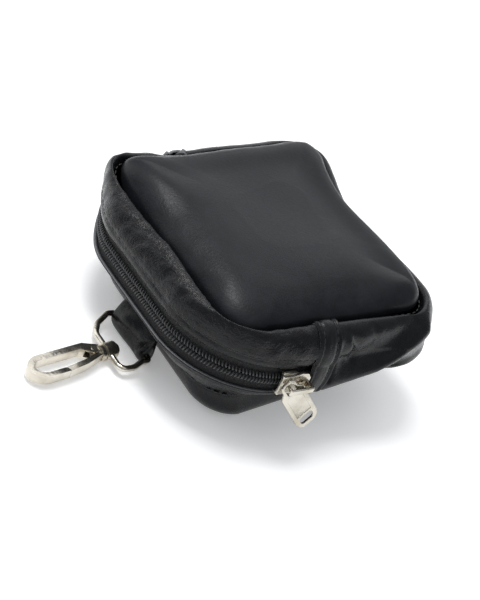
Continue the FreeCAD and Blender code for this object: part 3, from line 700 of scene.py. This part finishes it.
def scatter(name, shape, centres, frames, sizes, material):
    """Copies of a shape, each turned by its frame's axes and scaled by its half sizes."""
    points, faces = shape
    scaled = points[None] * sizes[:, None, :]
    placed = np.einsum("nij,nki->nkj", frames, scaled) + centres[:, None, :]
    count = len(points)
    numbers = (faces[None] + (np.arange(len(centres)) * count)[:, None, None]).reshape(-1, 4)
    return weld(new_piece(name, placed.reshape(-1, 3), numbers, material))


def frames_along(line, normals):
    """Axes at each point of a line: along it, across it, and out of the surface."""
    along = np.gradient(line, axis=0)
    along /= np.linalg.norm(along, axis=1, keepdims=True)
    across = np.cross(normals, along)
    across /= np.linalg.norm(across, axis=1, keepdims=True)
    return np.stack([along, across, np.cross(along, across)], 1)


def spaced(line, normals, pitch, start=0.5):
    """Points one pitch apart along a line, with their normals."""
    length = lengths(line)
    even = np.arange(pitch * start, length[-1], pitch)
    points = np.stack([np.interp(even, length, line[:, axis]) for axis in range(3)], -1)
    out = np.stack([np.interp(even, length, normals[:, axis]) for axis in range(3)], -1)
    return points, out / np.linalg.norm(out, axis=1, keepdims=True)


def stitches(name, rows, half_length, half_width, sink, body, node):
    """Stitches at rows of (points, normals): a lozenge at each point, part sunk in the leather."""
    points = np.concatenate([row[0] for row in rows])
    normals = np.concatenate([row[1] for row in rows])
    frames = np.concatenate([frames_along(*row) for row in rows])
    sizes = np.tile([half_length, half_width, half_width], (len(points), 1))
    piece = scatter(name, bead(7, 8), points - normals * sink, frames, sizes, THREAD)
    return belongs(piece, body, "thread", node)


def grid_line(grid, level):
    """One level of a grid with its outward normals."""
    return grid[level], outward_normals(grid)[level]


def level_at(grid, z):
    """The level whose mean height is nearest to z."""
    return int(np.argmin(np.abs(grid[..., 2].mean(1) - z)))


def zip_stitches(name, grid, z, sink, node):
    """The row of stitches along a strip beside the zip, at one height."""
    line, out = grid_line(grid, level_at(grid, z))
    stitches(name, [spaced(line[2:-2], out[2:-2], 2.5)], 0.98, 0.24, sink, "purse", node)


def seam_stitches(name, row, node):
    """Stitches that show down in a seam's groove."""
    stations = even_stations(np.array(row), np.arange(0.0, TURN + 0.5), 900)
    line = settled(plan(np.array(row), stations))
    out = np.tile([0.0, 0.0, 1.0 if row[2] > MIDDLE_Z else -1.0], (len(line), 1))
    stitches(name, [spaced(line, out, 2.9)], 1.05, 0.26, 0.0, "purse", node)


zip_stitches("zip_stitches_front", upper_grid, 34.9, 0.02, "zip_thread_front")
zip_stitches("zip_stitches_back", lower_grid, 20.2, 0.0, "zip_thread_back")
seam_stitches("front_seam_stitches", (41.6, 42.9, 41.2, 12.1, 12.1), "front_seam_thread")
seam_stitches("back_seam_stitches", (40.2, 39.7, 12.2, 14.0, 14.0), "back_seam_thread")


# ---------------------------------------------------------------- zip
def zip_level(depth, z):
    """The row at one height and depth inside the leather's outer face."""
    return (HALF_X - depth, HALF_Y - depth, z, ZIP_RADIUS - depth, PLAIN_RADIUS - depth)


def zip_line(depth, z):
    """The zip's path at one height and depth inside the leather's outer face."""
    row = np.array(zip_level(depth, z))
    knots = np.array([side_station(row, 2, ZIP_END_Y), 6.0, 7.0, 8.0, 9.0,
                      side_station(row, 0, ZIP_END_Y) + TURN])
    line = settled(plan(row, even_stations(row, knots, 1400)))
    along = np.gradient(line, axis=0)
    out = np.cross(along, [0.0, 0.0, 1.0])
    return line, out / np.linalg.norm(out, axis=1, keepdims=True)


def tooth():
    """A coil tooth: a tube bent over the row, its head wider where it locks with the other row."""
    rings, around = 8, 6
    share = np.linspace(0, 1, rings)[:, None]
    spin = np.linspace(0, 2 * np.pi, around, endpoint=False)[None, :]
    girth = np.where(share > 0.7, 1.18, 0.92) * np.sin(np.pi * np.clip(share, 0.06, 0.94)) ** 0.35
    along = girth * np.cos(spin) * 0.5
    up = girth * np.sin(spin) * 0.5 + 1.25 * np.sin(np.pi * np.clip(share * 0.82 + 0.14, 0, 1))
    across = np.broadcast_to(share, along.shape)
    points = np.stack([along, across, up], -1)
    caps = [np.repeat(ring.mean(0)[None, None], around, 1) for ring in (points[0], points[-1])]
    grid = np.concatenate([caps[0], points, caps[1]])
    return grid.reshape(-1, 3), grid_faces(rings + 2, around, True)


TOOTH_PITCH, TOOTH_SLANT = 1.12, 0.3


def teeth_row(name, side, start, node):
    """One row of coil teeth: a bent tooth each pitch, from the tape's edge to the middle."""
    line, out = zip_line(1.55, MIDDLE_Z + 0.05)
    points, normals = spaced(line, out, TOOTH_PITCH, start)
    frames = frames_along(points, normals)
    upward = np.tile([0.0, 0.0, -float(side)], (len(points), 1))
    frames[:, 1] = upward + frames[:, 0] * TOOTH_SLANT
    base = points - upward * 2.3
    sizes = np.tile([0.74, 2.4, 0.84], (len(points), 1))
    piece = scatter(name, tooth(), base, frames, sizes, TEETH)
    if side < 0:
        piece.data.flip_normals()
    return belongs(piece, "purse", "zip_teeth", node)


teeth_row("zip_teeth_front_coil", 1, 0.5, "zip_teeth_front")
teeth_row("zip_teeth_back_coil", -1, 1.0, "zip_teeth_back")


def tape(name, low, high, node):
    """Woven tape: a level band behind the leather edges, sagging a little between them."""
    rows = [zip_level(depth, z)
            for z, depth in zip(np.linspace(low, high, 6), (1.35, 1.5, 1.6, 1.6, 1.5, 1.35))]
    grid = settled(band(smooth_rows(rows, 12), SIDE_COLUMNS, *ZIP_CORNERS))
    piece = new_piece(name, grid.reshape(-1, 3), grid_faces(12, SIDE_COLUMNS), TAPE_CLOTH)
    thicken(piece, 0.5)
    return belongs(piece, "purse", "zip_tape", node)


tape("zip_tape_front_cloth", 27.1, 32.6, "zip_tape_front")
tape("zip_tape_back_cloth", 21.6, 27.0, "zip_tape_back")


# ---------------------------------------------------------------- end tabs
TAB_NEAR, TAB_FAR = -12.5, -3.0
TAB_LEVELS, TAB_COLUMNS = 90, 46
TAB_STITCH_COLUMNS = (9, 36)


def tab_height(y):
    """Tab's face: rounded raised edges, two stitch channels and a soft middle."""
    edge = np.minimum(y - TAB_NEAR, TAB_FAR - y)
    rounded = ease(edge / 0.9) * 0.55
    bead_edge = 0.3 * np.exp(-((edge - 0.9) / 0.7) ** 2)
    channel = -0.35 * np.exp(-((edge - 1.9) / 0.4) ** 2)
    pillow = 0.35 * ease((edge - 1.9) / 2.0)
    return 0.6 + rounded + bead_edge + channel + pillow


def end_tab(name, side, node):
    """Leather tab over the zip's end: the side's profile carried along y; its grid and side."""
    top_rows = UPPER_ROWS[:-2] if side > 0 else UPPER_ROWS[:-6]
    rows = smooth_rows(LOWER_ROWS + MIDDLE_ROWS + top_rows, TAB_LEVELS)
    y = np.linspace(TAB_NEAR, TAB_FAR, TAB_COLUMNS)
    corner = 0 if side > 0 else 2
    levels = np.array([plan(row, side_station(row, corner, y)) for row in rows])
    height = np.tile(tab_height(y), (TAB_LEVELS, 1))
    grid = raised(settled(levels), side * height)
    grid = grid + (0.12 * ripple(grid, 9.0, 61))[..., None] * np.array([side, 0.0, 0.0])
    faces = grid_faces(TAB_LEVELS, TAB_COLUMNS, False, side < 0)
    piece = new_piece(name, grid.reshape(-1, 3), faces, PLAIN_LEATHER, RAW_EDGE)
    belongs(thicken(piece, 1.0, 1), "purse", "leather", node)
    return grid, side


def tab_stitches(tabs):
    """Two rows of stitches down each tab."""
    rows = []
    for grid, side in tabs:
        out = side * outward_normals(grid)
        for column in TAB_STITCH_COLUMNS:
            rows.append(spaced(grid[4:-4, column], out[4:-4, column], 2.3))
    stitches("tab_stitches", rows, 0.9, 0.23, -0.02, "purse", "tab_threads")


tab_stitches([end_tab("end_tab_right_leather", 1.0, "end_tab_right"),
              end_tab("end_tab_left_leather", -1.0, "end_tab_left")])


# ---------------------------------------------------------------- strap
STRAP_HALF = 10.5
STRAP_STITCH_X = 8.7


def strap_profile(count):
    """Closed side view (y, z): down the outer face, round the fold and back up the inner face."""
    knots = np.array([
        (-40.7, 12.1), (-41.5, 11.6), (-42.3, 10.0), (-43.1, 8.0), (-43.9, 5.6), (-44.3, 3.4),
        (-43.7, 1.4), (-42.3, 0.45), (-40.9, 0.6), (-39.6, 1.7), (-39.1, 3.6), (-39.3, 6.2),
        (-39.7, 9.0), (-40.3, 11.3)])
    dense = flowing(np.vstack([knots[-1:], knots, knots[:2]]), 8)
    return dense[np.linspace(0, len(dense) - 1, count).astype(int)]


def make_strap():
    """Folded strap: its side view carried across x, rounded in at both edges."""
    profile = strap_profile(96)
    across = np.linspace(-1, 1, 61)
    middle = profile.mean(0)
    shrink = 1.0 - 0.16 * np.abs(across) ** 9
    y = middle[0] + (profile[:, 0][:, None] - middle[0]) * shrink[None, :]
    z = middle[1] + (profile[:, 1][:, None] - middle[1]) * shrink[None, :]
    x = np.broadcast_to(STRAP_HALF * across, y.shape)
    grid = np.stack([x, y, z], -1)
    face = ease((-grid[..., 1] - 41.0) / 1.5)
    grid[..., 1] -= face * (0.25 * ripple(grid, 11.0, 71)
                            + crease(grid, [(-4, -43.5, 7), (5, -43.5, 8)], 3.0, 0.4)
                            + crease(grid, [(6, -43.5, 3), (10.5, -42.5, 9)], 1.2, -0.5))
    ends = [np.repeat(grid[:, side].mean(0)[None], len(profile), 0)[:, None] for side in (0, -1)]
    grid = np.concatenate([ends[0], grid, ends[1]], 1)
    turned = np.swapaxes(grid, 0, 1)
    faces = grid_faces(turned.shape[0], turned.shape[1], True, True)
    piece = weld(new_piece("strap_leather_loop", turned.reshape(-1, 3), faces, STRAP_LEATHER))
    belongs(piece, "strap", "leather", "strap")


make_strap()


def strap_stitches():
    """Two rows of stitches down the strap's outer face."""
    rows = []
    for x in (-STRAP_STITCH_X, STRAP_STITCH_X):
        line = np.stack([np.full(60, x), np.linspace(-41.9, -43.9, 60),
                         np.linspace(10.6, 5.4, 60)], -1)
        out = np.tile([0.0, -0.93, 0.36], (60, 1))
        rows.append(spaced(line, out, 2.2, 0.4))
    stitches("strap_stitches", rows, 0.8, 0.2, 0.0, "strap", "strap_threads")


strap_stitches()


# ---------------------------------------------------------------- metal pieces
def softened(node, name, width, body, slot, material, angle=25.0):
    """A CAD piece's copy with its sharp edges rounded."""
    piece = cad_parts[node].copy()
    piece.data = piece.data.copy()
    for key in list(piece.keys()):
        del piece[key]
    piece.name = name
    piece.parent = None
    bpy.context.scene.collection.objects.link(piece)
    shape = bmesh.new()
    shape.from_mesh(piece.data)
    bmesh.ops.remove_doubles(shape, verts=shape.verts, dist=1e-6)
    bmesh.ops.dissolve_limit(shape, angle_limit=math.radians(1.0), verts=shape.verts,
                             edges=shape.edges)
    shape.to_mesh(piece.data)
    shape.free()
    piece.data.materials.clear()
    piece.data.materials.append(material)
    piece.data.polygons.foreach_set("use_smooth", np.ones(len(piece.data.polygons), bool))
    rounding = piece.modifiers.new("rounding", "BEVEL")
    rounding.width = width * MM
    rounding.segments = 4
    rounding.limit_method = "ANGLE"
    rounding.angle_limit = math.radians(angle)
    return belongs(piece, body, slot, node)


softened("hook_body", "hook_casting", 0.8, "hook", "hook_metal", HOOK_METAL)
softened("hook_gate", "hook_gate_casting", 0.5, "gate", "hook_metal", HOOK_METAL)
softened("gate_pin", "gate_pin_head", 0.1, "hook", "hook_metal", HOOK_METAL)
softened("swivel_loop", "swivel_loop_wire", 0.15, "loop", "hook_metal", HOOK_METAL, 35.0)
softened("slider_body", "slider_shell", 0.4, "slider", "slider_metal", SLIDER_METAL)
softened("slider_cap", "slider_bridge", 0.15, "slider", "slider_metal", SLIDER_METAL)
softened("puller", "pull_tab", 0.16, "puller", "slider_metal", SLIDER_METAL)


def dress(material, *nodes):
    """Gives CAD pieces that keep their shape their finish."""
    for node in nodes:
        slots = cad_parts[node].data.materials
        slots.clear()
        slots.append(material)


dress(SPRING_METAL, "gate_spring", "lock_spring")


# ---------------------------------------------------------------- floor, lights and camera
def make_floor():
    """Pale floor with a barely visible tooth."""
    mesh = bpy.data.meshes.new("floor")
    mesh.from_pydata([(-4, -4, 0), (4, -4, 0), (4, 4, 0), (-4, 4, 0)], [], [(0, 1, 2, 3)])
    floor = bpy.data.objects.new("floor", mesh)
    bpy.context.scene.collection.objects.link(floor)
    paint = Paint("floor_paper")
    tooth_noise = paint.noise(900.0, 2.0)
    mesh.materials.append(paint.finish(
        paint.mix(tooth_noise, (0.93, 0.93, 0.93, 1.0), (0.96, 0.96, 0.96, 1.0)), 0.9,
        paint.bump(tooth_noise, 0.05, 0.0001), Emission_Color=(1.0, 1.0, 1.0, 1.0),
        Emission_Strength=0.27))


def make_light(name, place, size, power):
    """Square soft light that faces the purse."""
    data = bpy.data.lights.new(name, "AREA")
    data.size = size
    data.energy = power
    light = bpy.data.objects.new(name, data)
    bpy.context.scene.collection.objects.link(light)
    place = np.array(place)
    back = place - np.array([0.0, 0.0, 0.02])
    back = back / np.linalg.norm(back)
    right = np.cross([0.0, 0.0, 1.0], back)
    right = right / np.linalg.norm(right)
    set_place(light, right, np.cross(back, right), back, place)


def make_world():
    """Even grey surroundings."""
    world = bpy.data.worlds.new("studio")
    world.use_nodes = True
    background = world.node_tree.nodes["Background"]
    background.inputs["Color"].default_value = (0.9, 0.95, 1.0, 1.0)
    background.inputs["Strength"].default_value = 0.34
    bpy.context.scene.world = world


make_floor()
make_world()
make_light("overhead", (-0.1, -0.1, 1.3), 2.4, 8.5)
make_light("key", (-0.25, -0.15, 1.0), 0.36, 5.5)
make_light("left", (-1.1, -0.5, 0.5), 0.9, 3.0)
make_light("window", (-0.9, 1.05, 0.95), 1.3, 4.6)
make_camera()
bpy.context.scene.view_settings.view_transform = "Standard"
